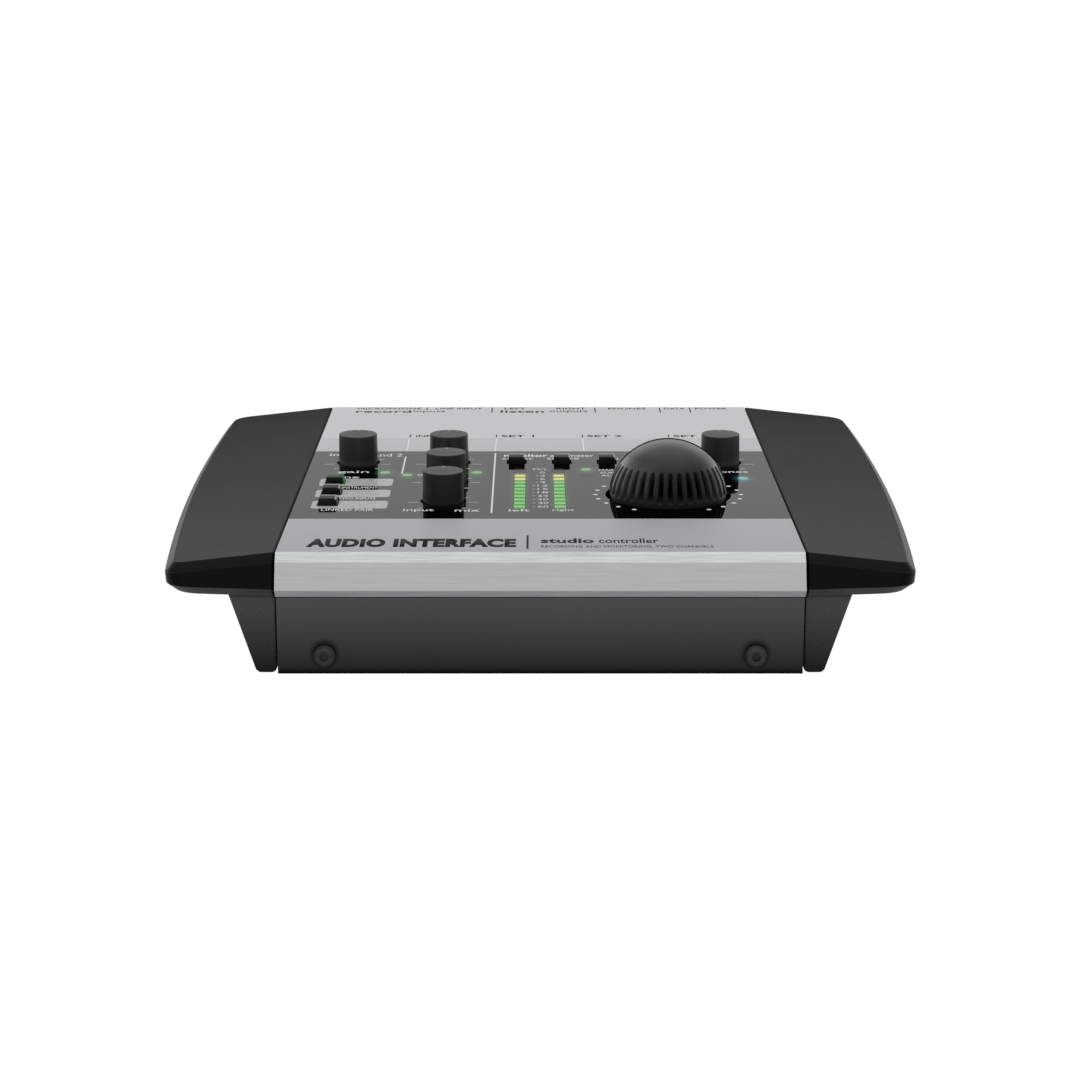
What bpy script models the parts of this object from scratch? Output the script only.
"""Desktop audio interface: an aluminium top shell over a steel tray, two moulded side
cheeks, a gloss control panel with one large and five small knobs, six push buttons,
two level meters, and seven sockets along the back.

Frame: X to the right, Y to the back, Z up. The origin is under the middle of the case,
on the plane the rubber feet stand on. Dimensions are millimetres; the scene is in metres.
Constants and tables count y from the crest, where the flat top meets the front chamfer;
y_of shifts them so that the origin is central. Heights that z_of takes, and those of the
nose, cheeks and controls, count from the flat top.
"""

import math

import bmesh
import bpy
from mathutils import Matrix, Vector

# ---------------------------------------------------------------- shared dimensions
GAP = 0.3  # clearance between neighbouring pieces
OVERCUT = 5.0  # how far most cutters run past the material
SHORT_OVERCUT = 3.0  # the same, for cutters through the flat top

# case
TOP_HALF_W = 75.0  # aluminium shell, half width
CREST_REAR = 207.6  # depth of the flat top, crest to rear edge
REAR_CHAMFER = 1.0
REAR_END = CREST_REAR + REAR_CHAMFER
NOSE_FRONT = -5.7  # foremost line of the nose
TOP_Z = 37.1  # flat top
Y_MID = (NOSE_FRONT + REAR_END) / 2
PLATE_T = 2.5
NOSE_LIP_DROP = 12.3
NOSE_BACK_Y = -1.0

# tray and rear panel
SHEET = 1.2
TRAY_HALF_W = 74.8
TRAY_Z = 2.0  # underside of the tray
TRAY_FRONT_Y = -3.0
TRAY_REAR_Y = 204.9
SHEET_TOP_DROP = PLATE_T + GAP
SCREW_X, SCREW_Z = 61.4, 7.4

# control panel
PANEL_T = 1.2
PANEL_DROP = 0.05  # its face lies this far below the flat top
PANEL_UNDER = -PANEL_T - PANEL_DROP

# knobs
SMALL_KNOBS = {
    "gain_knob": (-59.4, 115.8),
    "input_knob_rear": (-29.6, 115.8),
    "input_knob_middle": (-29.6, 88.3),
    "input_knob_front": (-29.6, 61.7),
    "phones_knob": (59.4, 115.8),
}
VOLUME_X, VOLUME_Y = 39.9, 70.1
KNOB_H = 9.8
VOLUME_H = 17.55
KNOB_SINK = 1.1  # knobs start this far below the flat top, inside their holes
KNOB_ROOF_T = 2.3  # solid height over a small knob's bore
VOLUME_ROOF_T = 3.5
SHAFT_R = 3.0
KNOB_BORE_R = SHAFT_R + 0.25

# buttons
BUTTONS = {
    "monitor_button_1": (-7.4, 116.6),
    "monitor_button_2": (7.4, 116.6),
    "monitor_button_3": (22.2, 116.6),
    "select_button_rear": (-64.8, 87.2),
    "select_button_middle": (-64.8, 72.7),
    "select_button_front": (-64.8, 58.2),
}

# meters and lamps
METER_X = 6.2
METER_FIRST_Y, METER_PITCH, METER_ROWS = 54.3, 4.65, 12
METER_YS = [METER_FIRST_Y + row * METER_PITCH for row in range(METER_ROWS)]
METER_LED_W, METER_LED_D = 3.5, 2.6
LAMP_R = 1.75
LAMPS = {
    "lamp_gain": (-49.8, 101.1),
    "lamp_input_left": (-42.5, 97.5),
    "lamp_input_right": (-20.3, 101.1),
    "lamp_monitor_rear": (15.1, 105.5),
    "lamp_monitor_front": (15.1, 96.2),
    "lamp_phones": (65.1, 92.6),
}

# boards: underside heights, and where the parts on them start
BOARD_T = 1.6
CONTROL_BOARD_Z = 25.4
CONTROL_PART_Z = CONTROL_BOARD_Z + BOARD_T + GAP
MAIN_BOARD_Z = 6.2
SOCKET_BODY_Z = MAIN_BOARD_Z + BOARD_T + 0.5

# rear sockets
SOCKET_Z = 18.5  # axis of the microphone socket and the jacks
MIC_X = -54.5
JACKS = {"line_jack": -29.0, "left_out_jack": -8.7, "right_out_jack": 11.6, "phones_jack": 32.0}
DATA_X, DATA_Z = 48.8, 13.0
POWER_X, POWER_Z = 62.6, 14.0
FLANGE_Y0, FLANGE_Y1 = 206.7, 207.9
SOCKET_BODY_REAR = 204.6  # moulded bodies stop here, inside the rear panel
BARREL_START = 200.0  # barrels start here, within the bodies
ROUND_CUT_END = FLANGE_Y1 + 4.0  # rear ends of the socket cutters
PORT_CUT_END = 212.0

FEET = {
    "foot_front_left": (-60, 15),
    "foot_front_right": (60, 15),
    "foot_rear_left": (-60, 190),
    "foot_rear_right": (60, 190),
}

# ---------------------------------------------------------------- materials
# name: base colour, roughness, metallic
FINISHES = {
    "aluminium": ((0.53, 0.53, 0.54), 0.38, 1.0),
    "gloss_black": ((0.012, 0.012, 0.013), 0.06, 0.0),
    "black_steel": ((0.035, 0.035, 0.037), 0.5, 0.0),
    "cheek_plastic": ((0.045, 0.045, 0.047), 0.45, 0.0),
    "knob_black": ((0.02, 0.02, 0.021), 0.38, 0.0),
    "knob_soft": ((0.035, 0.035, 0.036), 0.55, 0.0),
    "button_black": ((0.015, 0.015, 0.015), 0.3, 0.0),
    "lamp_clear": ((0.55, 0.75, 0.5), 0.2, 0.0),
    "board_green": ((0.02, 0.09, 0.04), 0.4, 0.0),
    "component_grey": ((0.16, 0.16, 0.17), 0.45, 0.0),
    "steel_shaft": ((0.5, 0.5, 0.5), 0.3, 1.0),
    "socket_black": ((0.018, 0.018, 0.018), 0.35, 0.0),
    "screw_steel": ((0.02, 0.02, 0.02), 0.3, 0.6),
    "rubber": ((0.015, 0.015, 0.015), 0.85, 0.0),
    "ribbon_grey": ((0.3, 0.3, 0.31), 0.6, 0.0),
}


def material(name):
    found = bpy.data.materials.get(name)
    if found:
        return found
    colour, roughness, metallic = FINISHES[name]
    made = bpy.data.materials.new(name)
    made.use_nodes = True
    shader = made.node_tree.nodes["Principled BSDF"]
    shader.inputs["Base Color"].default_value = (*colour, 1)
    shader.inputs["Roughness"].default_value = roughness
    shader.inputs["Metallic"].default_value = metallic
    made.diffuse_color = (*colour, 1)
    return made


# ---------------------------------------------------------------- coordinates
def y_of(y):
    """Crest distance to frame Y."""
    return y - Y_MID


def z_of(z):
    """Height above the flat top to frame Z."""
    return TOP_Z + z


def around(middle, half):
    return middle - half, middle + half


# ---------------------------------------------------------------- shapes
# Each add_ function adds one solid to a bmesh in millimetres and returns the bmesh.
def add_box(shape, x_range, y_range, z_range):
    low, high = (Vector(corner) for corner in zip(x_range, y_range, z_range))
    middle = Matrix.Translation((low + high) / 2)
    bmesh.ops.create_cube(shape, size=1, matrix=middle @ Matrix.Diagonal((*(high - low), 1)))
    return shape


def loft(shape, rings, closed=True):
    """Caps the first and last rings and joins each to the next; returns their vertices."""
    made = [[shape.verts.new(point) for point in ring] for ring in rings]
    shape.faces.new(made[0])
    shape.faces.new(made[-1][::-1])
    count = len(made[0])
    for a, b in zip(made, made[1:]):
        for i in range(count if closed else count - 1):
            j = (i + 1) % count
            shape.faces.new((a[i], a[j], b[j], b[i]))
    return made


def add_prism_x(shape, outline, low, high):
    """Extrudes a (y, z) outline along X."""
    loft(shape, [[(x, y, z) for y, z in outline] for x in (low, high)])
    return shape


def add_prism_y(shape, outline, low, high):
    """Extrudes an (x, z) outline along Y."""
    loft(shape, [[(x, y, z) for x, z in outline] for y in (low, high)])
    return shape


def add_lathe(shape, profile, segments, at=(0, 0, 0), turn=Matrix(), radius_at=None):
    """Revolves a closed (radius, height) profile. Radius 0 collapses to one point.

    `radius_at` may change the radius, given the segment, the radius and the height."""
    rings = []
    for radius, height in profile:
        ring = []
        for i in range(segments if radius else 1):
            angle = 2 * math.pi * i / segments
            r = radius_at(i, radius, height) if radius_at else radius
            point = Vector((r * math.cos(angle), r * math.sin(angle), height))
            ring.append(shape.verts.new(Vector(at) + turn @ point))
        rings.append(ring)
    for a, b in zip(rings, rings[1:] + rings[:1]):
        if len(a) == 1 and len(b) == 1:
            continue
        for i in range(segments):
            j = (i + 1) % segments
            if len(a) == 1:
                shape.faces.new((a[0], b[j], b[i]))
            elif len(b) == 1:
                shape.faces.new((a[i], a[j], b[0]))
            else:
                shape.faces.new((a[i], a[j], b[j], b[i]))
    return shape


def add_lathe_y(shape, profile, segments, x, z):
    """Revolves a (radius, crest distance) profile about the line along Y through (x, z)."""
    heights = [(radius, y_of(y)) for radius, y in profile]
    to_back = Matrix.Rotation(-math.pi / 2, 4, "X")
    return add_lathe(shape, heights, segments, (x, 0, z), to_back)


def rod_profile(radius, low, high):
    return [(0, low), (radius, low), (radius, high), (0, high)]


def add_rod(shape, radius, low, high, segments, x, y):
    """Upright rod between frame heights, at crest distance y."""
    return add_lathe(shape, rod_profile(radius, low, high), segments, (x, y_of(y), 0))


def add_rod_y(shape, radius, front, rear, segments, x, z):
    """Rod along Y between two crest distances."""
    return add_lathe_y(shape, rod_profile(radius, front, rear), segments, x, z)


# ---------------------------------------------------------------- objects
def clear_scene():
    for obj in list(bpy.data.objects):
        bpy.data.objects.remove(obj, do_unlink=True)


def place(name, shape, finish, at=(0, 0, 0), smooth=False):
    """Turns a bmesh in millimetres into an object whose origin is at `at`."""
    bmesh.ops.recalc_face_normals(shape, faces=shape.faces)
    bmesh.ops.scale(shape, vec=(0.001, 0.001, 0.001), verts=shape.verts)
    mesh = bpy.data.meshes.new(name)
    shape.to_mesh(mesh)
    shape.free()
    if smooth:
        mesh.shade_smooth()
        mesh.set_sharp_from_angle(angle=math.radians(35))
    obj = bpy.data.objects.new(name, mesh)
    obj.location = Vector(at) * 0.001
    bpy.context.scene.collection.objects.link(obj)
    if finish:
        mesh.materials.append(material(finish))
    return obj


def boolean(obj, name, shape, operation):
    """Makes the shape a hidden helper and applies it to the object by a modifier."""
    helper = place(name, shape, None)
    helper.hide_render = True
    helper.display_type = "WIRE"
    modifier = obj.modifiers.new(f"{operation.lower()}_{name}", "BOOLEAN")
    modifier.operation = operation
    modifier.solver = "EXACT"
    modifier.object = helper


def cut(obj, name, shape):
    boolean(obj, name, shape, "DIFFERENCE")


def join(obj, name, shape):
    boolean(obj, name, shape, "UNION")


# ---------------------------------------------------------------- top cover and panel
NOSE_CHAMFER = 2.45
NOSE_FACE_DROP = 9.9
NOSE_LIP_Y = -3.3
NOSE_INNER_CHAMFER = 1.5  # between the back of the nose and the underside of the plate

PANEL_FRONT_Y, PANEL_REAR_Y = 39.1, 132.6
PANEL_RECESS = 1.5
RECESS_MARGIN = 0.15  # recess beyond the panel, front and rear
WINDOW_HALF_W = 69.0
WINDOW_LEDGE = 5.5
SCORE_Y, SCORE_W, SCORE_DEPTH = 152.5, 0.35, 0.25  # fine line scored across the top

PILLAR_R = 1.9
PILLAR_X = 71.6
PILLAR_YS = (52, 118)
PILLAR_SINK = 0.5  # overlap into the plate

KNOB_HOLE_R = 7.1
VOLUME_HOLE_R = 19.5
BUTTON_HOLE_W = 6.5
LAMP_MARGIN = 0.15
LED_MARGIN = 0.12
HOLE_CUT_LOW = -4.0


def top_cover():
    """Flat aluminium plate with a chamfered nose along its front edge."""
    outline = [  # (y, z)
        (0, 0),
        (-NOSE_CHAMFER, -NOSE_CHAMFER),
        (NOSE_FRONT, -NOSE_FACE_DROP),
        (NOSE_LIP_Y, -NOSE_LIP_DROP),
        (NOSE_BACK_Y, -NOSE_LIP_DROP),
        (NOSE_BACK_Y, -PLATE_T - NOSE_INNER_CHAMFER),
        (NOSE_BACK_Y + NOSE_INNER_CHAMFER, -PLATE_T),
        (REAR_END, -PLATE_T),
        (REAR_END, -REAR_CHAMFER),
        (CREST_REAR, 0),
    ]
    points = [(y_of(y), z_of(z)) for y, z in outline]
    cover = place(
        "top_cover", add_prism_x(bmesh.new(), points, -TOP_HALF_W, TOP_HALF_W), "aluminium"
    )
    # name: half width, front y, rear y, lower z, upper z
    cuts = {
        "cut_panel_recess": (
            TOP_HALF_W + OVERCUT, PANEL_FRONT_Y - RECESS_MARGIN, PANEL_REAR_Y + RECESS_MARGIN,
            -PANEL_RECESS, OVERCUT),
        "cut_panel_window": (
            WINDOW_HALF_W, PANEL_FRONT_Y + WINDOW_LEDGE, PANEL_REAR_Y - WINDOW_LEDGE,
            -PLATE_T - SHORT_OVERCUT, SHORT_OVERCUT),
        "cut_top_score": (
            TOP_HALF_W + OVERCUT, SCORE_Y - SCORE_W / 2, SCORE_Y + SCORE_W / 2,
            -SCORE_DEPTH, OVERCUT),
    }
    for name, (half_w, front, rear, low, high) in cuts.items():
        y_range = (y_of(front), y_of(rear))
        z_range = (z_of(low), z_of(high))
        cut(cover, name, add_box(bmesh.new(), (-half_w, half_w), y_range, z_range))
    pillars = bmesh.new()
    for x in (-PILLAR_X, PILLAR_X):
        for y in PILLAR_YS:
            add_rod(pillars, PILLAR_R, CONTROL_PART_Z, z_of(-PLATE_T + PILLAR_SINK), 12, x, y)
    join(cover, "add_board_pillars", pillars)


def control_panel():
    """Gloss sheet over the window, with a hole for each knob, button and lamp."""
    sheet = add_box(bmesh.new(), (-TOP_HALF_W, TOP_HALF_W),
                    (y_of(PANEL_FRONT_Y), y_of(PANEL_REAR_Y)),
                    (z_of(PANEL_UNDER), z_of(-PANEL_DROP)))
    panel = place("control_panel", sheet, "gloss_black")
    low, high = z_of(HOLE_CUT_LOW), z_of(SHORT_OVERCUT)
    holes = bmesh.new()
    for x, y in SMALL_KNOBS.values():
        add_rod(holes, KNOB_HOLE_R, low, high, 28, x, y)
    add_rod(holes, VOLUME_HOLE_R, low, high, 56, VOLUME_X, VOLUME_Y)
    for x, y in BUTTONS.values():
        half = BUTTON_HOLE_W / 2
        add_box(holes, around(x, half), around(y_of(y), half), (low, high))
    for x, y in LAMPS.values():
        add_rod(holes, LAMP_R + LAMP_MARGIN, low, high, 16, x, y)
    for x in (-METER_X, METER_X):
        x_range = around(x, METER_LED_W / 2 + LED_MARGIN)
        for y in METER_YS:
            y_range = around(y_of(y), METER_LED_D / 2 + LED_MARGIN)
            add_box(holes, x_range, y_range, (low, high))
    cut(panel, "cut_panel_holes", holes)


# ---------------------------------------------------------------- tray and rear panel
TRAY_LEDGE_Y = NOSE_BACK_Y + 2.0  # the tray is low in front of here, under the nose
STUD_R = 2.5
STUD_X = 66
STUD_YS = (46, 180)
STUD_START = 0.6  # above the underside of the tray, within the floor
SCREW_HOLE_R = 1.8

MIC_HOLE_R, JACK_HOLE_R, POWER_HOLE_R = 12.0, 6.1, 5.1
DATA_HOLE_HALF_W, DATA_HOLE_HALF_H = 5.3, 2.7


def bottom_chassis():
    """Folded steel tray: floor, front wall and two side walls, with pressed-in studs."""
    front, rear = y_of(TRAY_FRONT_Y), y_of(TRAY_REAR_Y)
    ledge = y_of(TRAY_LEDGE_Y)
    lip = z_of(-NOSE_LIP_DROP) - GAP
    top = z_of(-SHEET_TOP_DROP)
    outline = [(front, TRAY_Z), (rear, TRAY_Z), (rear, top), (ledge, top), (ledge, lip),
               (front, lip)]
    block = add_prism_x(bmesh.new(), outline, -TRAY_HALF_W, TRAY_HALF_W)
    tray = place("bottom_chassis", block, "black_steel")
    cut(tray, "cut_tray_inside", add_box(
        bmesh.new(), around(0, TRAY_HALF_W - SHEET), (front + SHEET, rear + OVERCUT),
        (TRAY_Z + SHEET, TOP_Z + OVERCUT)))
    studs = bmesh.new()
    for x in (-STUD_X, STUD_X):
        for y in STUD_YS:
            add_rod(studs, STUD_R, TRAY_Z + STUD_START, MAIN_BOARD_Z - GAP, 12, x, y)
    join(tray, "add_tray_studs", studs)
    holes = bmesh.new()
    for x in (-SCREW_X, SCREW_X):
        add_rod_y(holes, SCREW_HOLE_R, *around(TRAY_FRONT_Y, OVERCUT), 12, x, SCREW_Z)
    cut(tray, "cut_tray_screw_holes", holes)


def rear_panel():
    """Upright steel sheet behind the tray, with a hole for each socket."""
    front = TRAY_REAR_Y + GAP
    sheet = add_box(bmesh.new(), around(0, TRAY_HALF_W), (y_of(front), y_of(front) + SHEET),
                    (TRAY_Z, z_of(-SHEET_TOP_DROP)))
    panel = place("rear_panel", sheet, "black_steel")
    reach = around(front, OVERCUT)
    holes = bmesh.new()
    add_rod_y(holes, MIC_HOLE_R, *reach, 32, MIC_X, SOCKET_Z)
    for x in JACKS.values():
        add_rod_y(holes, JACK_HOLE_R, *reach, 24, x, SOCKET_Z)
    add_box(holes, around(DATA_X, DATA_HOLE_HALF_W), around(y_of(front), OVERCUT),
            around(DATA_Z, DATA_HOLE_HALF_H))
    add_rod_y(holes, POWER_HOLE_R, *reach, 24, POWER_X, POWER_Z)
    cut(panel, "cut_rear_sockets", holes)


# ---------------------------------------------------------------- side cheeks
CHEEK_IN = TOP_HALF_W + GAP
CHEEK_WIDE = 113.7  # widest half width
CHEEK_WIDE_Y = 150.0  # where it is widest
CHEEK_BOW = 3.18e-4  # narrowing per mm squared away from there
WING_FALL = -0.110  # height change of the wing's top per mm outward
WING_RISE = 0.018  # the same for its underside
WING_CHAMFER = 2.45
WING_SLANT = 0.051  # how far its front face falls back per mm outward
CORNER_STEPS, SIDE_STEPS = 5, 8

# From the top down: front y, rear y, inset of the outer side, length of the front and
# rear corners, z at the inner edge, height change and front setback per mm outward.
WING_RINGS = [
    (0.0, 207.2, 2.3, 3.5, 6.0, 0.0, WING_FALL, 0.0),
    (-WING_CHAMFER, REAR_END, 0.0, 5.0, 7.0, -WING_CHAMFER, WING_FALL, 0.0),
    (NOSE_FRONT, REAR_END, 0.3, 7.0, 7.0, -9.5, WING_RISE, WING_SLANT),
    (NOSE_FRONT + 2.4, REAR_END - 2.0, 3.0, 7.5, 7.0, -12.1, WING_RISE, WING_SLANT),
]

# Cross-section of the leg: (x, z) on the right side, up to its overlap with the wing.
LEG_IN = 75.15
LEG_BOTTOM_X, LEG_BOTTOM_Z = 81.0, -35.0
LEG_TOP_X = 88.5
LEG_CHAMFER = 0.9
LEG_OUTLINE = [
    (LEG_IN, -5.0),
    (LEG_IN, LEG_BOTTOM_Z + LEG_CHAMFER),
    (LEG_IN + LEG_CHAMFER, LEG_BOTTOM_Z),
    (LEG_BOTTOM_X - LEG_CHAMFER, LEG_BOTTOM_Z),
    (LEG_BOTTOM_X + 0.15, LEG_BOTTOM_Z + 0.8),
    (LEG_TOP_X, -11.6),
    (LEG_TOP_X + 0.9, -8.6),
]
LEG_FRONT_Y, LEG_REAR_Y = -2.5, 206.0

# Cross-section of the hollow, (x, z) on the right side.
HOLLOW_OUTLINE = [
    (70.0, -3.0), (76.0, -3.0), (100.0, -5.6), (100.0, -8.9), (84.8, -8.9),
    (79.0, -31.9), (70.0, -31.9),
]
HOLLOW_FRONT_Y, HOLLOW_REAR_Y = 6.0, 199.0


def bend(start, corner, end):
    """Points of a quadratic curve from start to end, drawn towards the corner."""
    for i in range(CORNER_STEPS + 1):
        t = i / CORNER_STEPS
        yield start * (1 - t) ** 2 + corner * 2 * t * (1 - t) + end * t**2


def wing_ring(front, rear, inset, front_corner, rear_corner, inner_z, rise, slant):
    """One outline of the right wing, from its inner front corner round to its inner rear.

    The setback of the front fades out along the front corner."""

    def side(y):
        """Bowed outer edge at crest distance y."""
        return Vector((CHEEK_WIDE - inset - CHEEK_BOW * (y - CHEEK_WIDE_Y) ** 2, y))

    low, high = front + front_corner, rear - rear_corner
    plan = [Vector((CHEEK_IN, front))]
    plan += bend(side(front) - Vector((front_corner, 0)), side(front), side(low))
    plan += [side(low + (high - low) * i / SIDE_STEPS) for i in range(1, SIDE_STEPS)]
    plan += bend(side(high), side(rear), side(rear) - Vector((rear_corner, 0)))
    plan.append(Vector((CHEEK_IN, rear)))
    ring = []
    for x, y in plan:
        out = x - CHEEK_IN
        y += slant * out * max(0.0, 1 - (y - front) / front_corner)
        ring.append((x, y_of(y), z_of(inner_z + rise * out)))
    return ring


def cheek(name, side):
    """Moulded cheek: a thin sloping wing over a tapering leg, hollow towards the tray.

    `side` is -1 for the left and 1 for the right."""
    rings = [[(x * side, y, z) for x, y, z in wing_ring(*row)] for row in WING_RINGS]
    wing = bmesh.new()
    made = loft(wing, rings, closed=False)
    wing.faces.new([ring[0] for ring in made] + [ring[-1] for ring in made][::-1])
    body = place(name, wing, "cheek_plastic")

    def section(outline, front, rear):
        points = [(x * side, z_of(z)) for x, z in outline]
        return add_prism_y(bmesh.new(), points, y_of(front), y_of(rear))

    join(body, f"add_{name}_leg", section(LEG_OUTLINE, LEG_FRONT_Y, LEG_REAR_Y))
    cut(body, f"cut_{name}_hollow", section(HOLLOW_OUTLINE, HOLLOW_FRONT_Y, HOLLOW_REAR_Y))


# ---------------------------------------------------------------- knobs
KNOB_R_BASE, KNOB_R_TOP = 6.4, 6.2
VOLUME_R = 18.3
VOLUME_GROOVES = 36
GROOVE_DEPTH = 0.9
GROOVE_ZS = (1.8, 7.4)  # heights of the grooves' ends
DOME_ZS = (1.2, *GROOVE_ZS, 8.6, 12.0, 15.2)
VOLUME_BORE_OVERCUT = 4.0

POT_W, POT_D, POT_H = 9.5, 11.0, 6.5
VOLUME_POT_W = 13.0
SHAFT_BORE_R = 3.1
SHAFT_BORE_START, SHAFT_START = 1.2, 1.6  # above the underside of the pot
SHAFT_CHAMFER = 0.5


def small_knob(name, x, y):
    """Slightly tapered knob with a rounded top edge and a blind bore."""
    roof = KNOB_H - KNOB_ROOF_T
    profile = [
        (KNOB_BORE_R, -KNOB_SINK), (KNOB_R_BASE, -KNOB_SINK), (KNOB_R_TOP, KNOB_H - 0.45),
        (KNOB_R_TOP - 0.25, KNOB_H - 0.15), (0, KNOB_H), (0, roof), (KNOB_BORE_R, roof),
    ]
    shape = add_lathe(bmesh.new(), profile, 28)
    place(name, shape, "knob_black", at=(x, y_of(y), TOP_Z), smooth=True)


def volume_knob():
    """Domed knob: fluted sides under a smooth cap, on a plain rim."""
    profile = [(0, -KNOB_SINK), (VOLUME_R, -KNOB_SINK)]
    profile += [(VOLUME_R * math.sqrt(1 - (z / VOLUME_H) ** 2), z) for z in DOME_ZS]
    profile.append((0, VOLUME_H))

    def fluted(i, radius, z):
        return radius - GROOVE_DEPTH if z in GROOVE_ZS and i % 2 else radius

    dome = add_lathe(bmesh.new(), profile, 2 * VOLUME_GROOVES, radius_at=fluted)
    knob = place("volume_knob", dome, "knob_soft", at=(VOLUME_X, y_of(VOLUME_Y), TOP_Z),
                 smooth=True)
    low, high = z_of(-KNOB_SINK - VOLUME_BORE_OVERCUT), z_of(VOLUME_H - VOLUME_ROOF_T)
    bore = add_rod(bmesh.new(), KNOB_BORE_R, low, high, 24, VOLUME_X, VOLUME_Y)
    cut(knob, "cut_volume_bore", bore)


def pot(name, x, y, width, depth, shaft_top):
    """A rotary control on the control board: a fixed body and its turning shaft."""
    low = CONTROL_PART_Z
    high = low + POT_H
    block = add_box(bmesh.new(), around(0, width / 2), around(0, depth / 2), (low, high))
    body = place(f"{name}_pot", block, "component_grey", at=(x, y_of(y), 0))
    cut(body, f"cut_{name}_pot", add_rod(
        bmesh.new(), SHAFT_BORE_R, low + SHAFT_BORE_START, high + SHORT_OVERCUT, 24, x, y))
    base = low + SHAFT_START - TOP_Z
    shaft = add_lathe(bmesh.new(), [
        (0, base), (SHAFT_R, base), (SHAFT_R, shaft_top - SHAFT_CHAMFER),
        (SHAFT_R - SHAFT_CHAMFER, shaft_top), (0, shaft_top),
    ], 24)
    place(f"{name}_shaft", shaft, "steel_shaft", at=(x, y_of(y), TOP_Z), smooth=True)


# ---------------------------------------------------------------- buttons and lamps
BUTTON_W = 5.3
BUTTON_H = 2.15
BUTTON_EDGE_IN, BUTTON_EDGE_DROP = 0.3, 0.35  # bevel round the top
SELECT_DRAFT = 0.4  # select buttons widen by this much per side towards the panel
SKIRT_DROP = 0.4  # below the underside of the panel
SKIRT_T = 1.0
SKIRT_OUT = 1.1
STEM_HALF_W = 1.6
STEM_LIFT = 0.8  # bottom of the stem above the switch
SWITCH_W, SWITCH_H = 6.0, 3.6

LAMP_BASE_R = 2.3
METER_END = 1.0  # meter base beyond its first and last teeth
GUIDE_STEP = PANEL_UNDER - GAP  # light guides are wider below here


def button(name, x, y):
    """Square cap with a skirt under the panel and a stem, and the switch below it."""
    half = BUTTON_W / 2
    foot_half = half + (SELECT_DRAFT if name.startswith("select") else 0)
    skirt_half = half + SKIRT_OUT
    skirt_top = PANEL_UNDER - SKIRT_DROP
    skirt_low = skirt_top - SKIRT_T
    switch_top = CONTROL_PART_Z + SWITCH_H
    levels = [  # (half width, z), from the top down
        (half - BUTTON_EDGE_IN, BUTTON_H),
        (half, BUTTON_H - BUTTON_EDGE_DROP),
        (foot_half, 0),
        (foot_half, skirt_top),
        (skirt_half, skirt_top),
        (skirt_half, skirt_low),
        (STEM_HALF_W, skirt_low),
        (STEM_HALF_W, switch_top + STEM_LIFT - TOP_Z),
    ]
    cap = bmesh.new()
    loft(cap, [[(-w, -w, z), (w, -w, z), (w, w, z), (-w, w, z)] for w, z in levels])
    place(name, cap, "button_black", at=(x, y_of(y), TOP_Z))
    across = around(0, SWITCH_W / 2)
    switch = add_box(bmesh.new(), across, across, (CONTROL_PART_Z, switch_top))
    place(name.replace("button", "switch"), switch, "component_grey", at=(x, y_of(y), 0))


def lamp(name, x, y):
    """Round light guide, flush with the panel, standing on the control board."""
    low = CONTROL_PART_Z - TOP_Z
    guide = add_lathe(bmesh.new(), [
        (0, low), (LAMP_BASE_R, low), (LAMP_BASE_R, GUIDE_STEP), (LAMP_R, GUIDE_STEP),
        (LAMP_R, -PANEL_DROP), (0, -PANEL_DROP),
    ], 16)
    place(name, guide, "lamp_clear", at=(x, y_of(y), TOP_Z), smooth=True)


def meter(name, x):
    """Light guide with one tooth for each lamp of the level meter."""
    step, top = z_of(GUIDE_STEP), z_of(-PANEL_DROP)
    half = METER_LED_D / 2
    front = y_of(METER_YS[0]) - half - METER_END
    rear = y_of(METER_YS[-1]) + half + METER_END
    outline = [(rear, CONTROL_PART_Z), (front, CONTROL_PART_Z), (front, step)]
    for y in METER_YS:
        low, high = around(y_of(y), half)
        outline += [(low, step), (low, top), (high, top), (high, step)]
    outline.append((rear, step))
    place(name, add_prism_x(bmesh.new(), outline, *around(x, METER_LED_W / 2)), "lamp_clear")


# ---------------------------------------------------------------- boards
CONTROL_BOARD_REAR = 126
# name: half width, front y, rear y, underside z
BOARDS = {
    "control_board": (73.2, 44, CONTROL_BOARD_REAR, CONTROL_BOARD_Z),
    "main_board": (70, 40, 186, MAIN_BOARD_Z),
}
RIBBON_HALF_W = 18
RIBBON_T = 1.0
RIBBON_REAR = 132.0
RIBBON_DROP = 0.1  # its top below the top of the control board


def board(name, half_w, front, rear, low):
    slab = add_box(bmesh.new(), (-half_w, half_w), (y_of(front), y_of(rear)),
                   (low, low + BOARD_T))
    place(name, slab, "board_green")


def board_ribbon():
    """Flat cable from the main board, up and over to the control board's rear edge."""
    low = MAIN_BOARD_Z + BOARD_T + GAP
    top = CONTROL_BOARD_Z + BOARD_T - RIBBON_DROP
    under = top - RIBBON_T
    rear = y_of(RIBBON_REAR)
    inner = rear - RIBBON_T
    end = y_of(CONTROL_BOARD_REAR + GAP)
    outline = [(rear, low), (inner, low), (inner, under), (end, under), (end, top), (rear, top)]
    cable = add_prism_x(bmesh.new(), outline, -RIBBON_HALF_W, RIBBON_HALF_W)
    place("board_ribbon", cable, "ribbon_grey")


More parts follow.
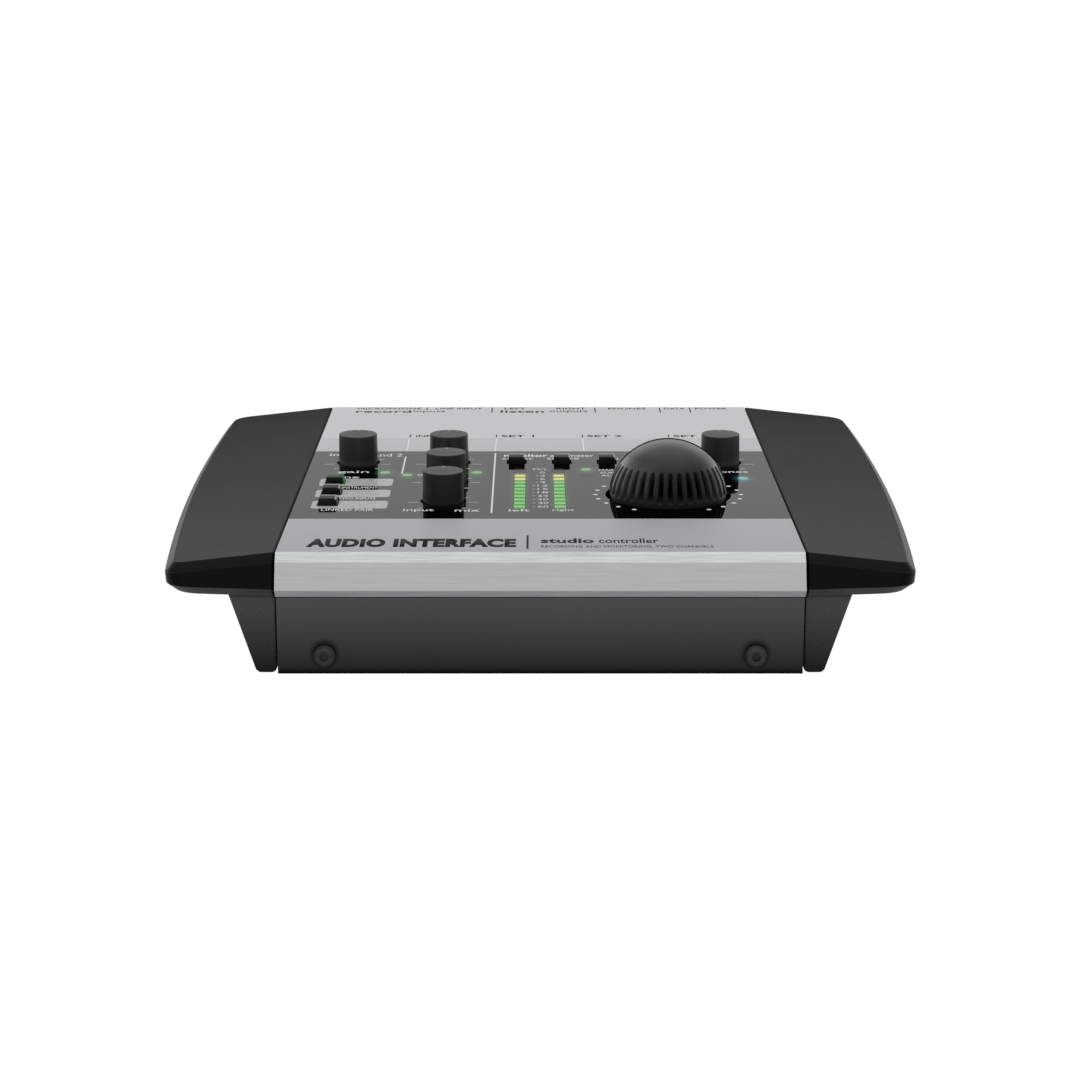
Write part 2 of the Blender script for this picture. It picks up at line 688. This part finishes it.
# ---------------------------------------------------------------- sockets
# Profiles are (radius, y), revolved about the socket's axis.
MIC_PROFILE = [
    (0, 187.2), (11.7, 187.2), (11.7, FLANGE_Y0), (13.0, FLANGE_Y0),
    (13.0, FLANGE_Y1 - 0.4), (12.6, FLANGE_Y1), (9.8, FLANGE_Y1), (9.8, FLANGE_Y1 - 14),
    (7.9, FLANGE_Y1 - 14), (7.9, FLANGE_Y1 - 0.6), (0, FLANGE_Y1 - 0.6),
]
CONTACT_R = 1.35
CONTACT_CIRCLE_R = 4.2
CONTACT_DEPTH = 11  # from the flange's rear face
CONTACT_ANGLES = (180, 270, 360)

JACK_HALF_W = 8
JACK_FRONT, JACK_TOP_Z = 178, 28.5
JACK_BORE_R, JACK_BORE_START = 3.3, 181
JACK_BARREL = [
    (0, BARREL_START), (5.8, BARREL_START), (5.8, FLANGE_Y0), (7.4, FLANGE_Y0),
    (7.4, FLANGE_Y1 - 0.3), (7.1, FLANGE_Y1), (0, FLANGE_Y1),
]

DATA_HALF_W = 5.0
DATA_FRONT, DATA_REAR = 192, 207.2
DATA_LIFT, DATA_TOP = 2.1, 2.4  # bottom above SOCKET_BODY_Z, top above DATA_Z
DATA_SLOT_HALF_W, DATA_SLOT_START = 4.2, 197
TONGUE_HALF_T, DATA_SLOT_HALF_H = 0.35, 1.6

POWER_HALF_W = 5.5
POWER_FRONT, POWER_TOP_Z = 190, 20.5
POWER_BARREL = rod_profile(4.8, BARREL_START, 207.4)
POWER_BORE = [  # leaves the centre pin standing
    (1.0, 195), (3.2, 195), (3.2, PORT_CUT_END), (0, PORT_CUT_END), (0, 206.4), (1.0, 206.4),
]


def mic_socket():
    """Three-pole round microphone socket: flange, barrel, ring groove and contact holes."""
    barrel = add_lathe_y(bmesh.new(), MIC_PROFILE, 28, MIC_X, SOCKET_Z)
    socket = place("mic_socket", barrel, "socket_black", smooth=True)
    contacts = bmesh.new()
    for degrees in CONTACT_ANGLES:
        angle = math.radians(degrees)
        x = MIC_X + CONTACT_CIRCLE_R * math.cos(angle)
        z = SOCKET_Z + CONTACT_CIRCLE_R * math.sin(angle)
        add_rod_y(contacts, CONTACT_R, FLANGE_Y1 - CONTACT_DEPTH, ROUND_CUT_END, 10, x, z)
    cut(socket, "cut_mic_contacts", contacts)


def socket_body(name, x, half_w, front, top):
    """Moulded block on the main board, inside the rear panel."""
    block = add_box(bmesh.new(), around(x, half_w), (y_of(front), y_of(SOCKET_BODY_REAR)),
                    (SOCKET_BODY_Z, top))
    return place(name, block, "socket_black")


def jack(name, x):
    """6.35 mm jack socket: moulded body, threaded barrel with its nut, and the bore."""
    socket = socket_body(name, x, JACK_HALF_W, JACK_FRONT, JACK_TOP_Z)
    join(socket, f"add_{name}_barrel", add_lathe_y(bmesh.new(), JACK_BARREL, 24, x, SOCKET_Z))
    bore = add_rod_y(bmesh.new(), JACK_BORE_R, JACK_BORE_START, ROUND_CUT_END, 20, x, SOCKET_Z)
    cut(socket, f"cut_{name}_bore", bore)


def data_port():
    """Small rectangular data socket with a tongue."""
    block = add_box(bmesh.new(), around(DATA_X, DATA_HALF_W), (y_of(DATA_FRONT), y_of(DATA_REAR)),
                    (SOCKET_BODY_Z + DATA_LIFT, DATA_Z + DATA_TOP))
    port = place("data_port", block, "component_grey")
    x_range = around(DATA_X, DATA_SLOT_HALF_W)
    y_range = (y_of(DATA_SLOT_START), y_of(PORT_CUT_END))
    slots = bmesh.new()
    add_box(slots, x_range, y_range, (DATA_Z + TONGUE_HALF_T, DATA_Z + DATA_SLOT_HALF_H))
    add_box(slots, x_range, y_range, (DATA_Z - DATA_SLOT_HALF_H, DATA_Z - TONGUE_HALF_T))
    cut(port, "cut_data_port", slots)


def power_socket():
    """Round low-voltage socket with its centre pin."""
    socket = socket_body("power_socket", POWER_X, POWER_HALF_W, POWER_FRONT, POWER_TOP_Z)
    barrel = add_lathe_y(bmesh.new(), POWER_BARREL, 24, POWER_X, POWER_Z)
    join(socket, "add_power_barrel", barrel)
    bore = add_lathe_y(bmesh.new(), POWER_BORE, 20, POWER_X, POWER_Z)
    cut(socket, "cut_power_bore", bore)


# ---------------------------------------------------------------- fixings
SCREW_SEAT = TRAY_FRONT_Y - 0.2  # rear face of the screw head
SCREW_PROFILE = [  # (radius, y), head then shank
    (0, SCREW_SEAT - 1.8), (1.9, SCREW_SEAT - 1.75), (2.6, SCREW_SEAT - 1.35),
    (3.1, SCREW_SEAT - 0.5), (3.1, SCREW_SEAT), (1.5, SCREW_SEAT), (1.5, SCREW_SEAT + 9),
    (0, SCREW_SEAT + 9),
]
HEX_R = 1.4
HEX_FRONT, HEX_REAR = SCREW_SEAT - 4, SCREW_SEAT - 0.7
FOOT_PROFILE = [(0, 0), (5.4, 0), (6.0, 0.5), (6.0, 1.7), (0, 1.7)]  # (radius, z)


def front_screw(name, x):
    """Button-head screw with a hexagon socket, through the tray's front wall."""
    shape = add_lathe_y(bmesh.new(), SCREW_PROFILE, 24, x, SCREW_Z)
    screw = place(name, shape, "screw_steel", smooth=True)
    hexagon = add_rod_y(bmesh.new(), HEX_R, HEX_FRONT, HEX_REAR, 6, x, SCREW_Z)
    cut(screw, f"cut_{name}_socket", hexagon)


def foot(name, x, y):
    shape = add_lathe(bmesh.new(), FOOT_PROFILE, 24)
    place(name, shape, "rubber", at=(x, y_of(y), 0), smooth=True)


def main():
    clear_scene()
    top_cover()
    control_panel()
    bottom_chassis()
    rear_panel()
    cheek("left_cheek", -1)
    cheek("right_cheek", 1)
    for name, (x, y) in SMALL_KNOBS.items():
        small_knob(name, x, y)
        pot(name.replace("_knob", ""), x, y, POT_W, POT_D, KNOB_H - KNOB_ROOF_T - GAP)
    volume_knob()
    pot("volume", VOLUME_X, VOLUME_Y, VOLUME_POT_W, VOLUME_POT_W, VOLUME_H - VOLUME_ROOF_T - GAP)
    for name, (x, y) in BUTTONS.items():
        button(name, x, y)
    for name, (x, y) in LAMPS.items():
        lamp(name, x, y)
    meter("meter_left", -METER_X)
    meter("meter_right", METER_X)
    for name, sizes in BOARDS.items():
        board(name, *sizes)
    board_ribbon()
    mic_socket()
    for name, x in JACKS.items():
        jack(name, x)
    data_port()
    power_socket()
    front_screw("front_screw_left", -SCREW_X)
    front_screw("front_screw_right", SCREW_X)
    for name, (x, y) in FEET.items():
        foot(name, x, y)


main()
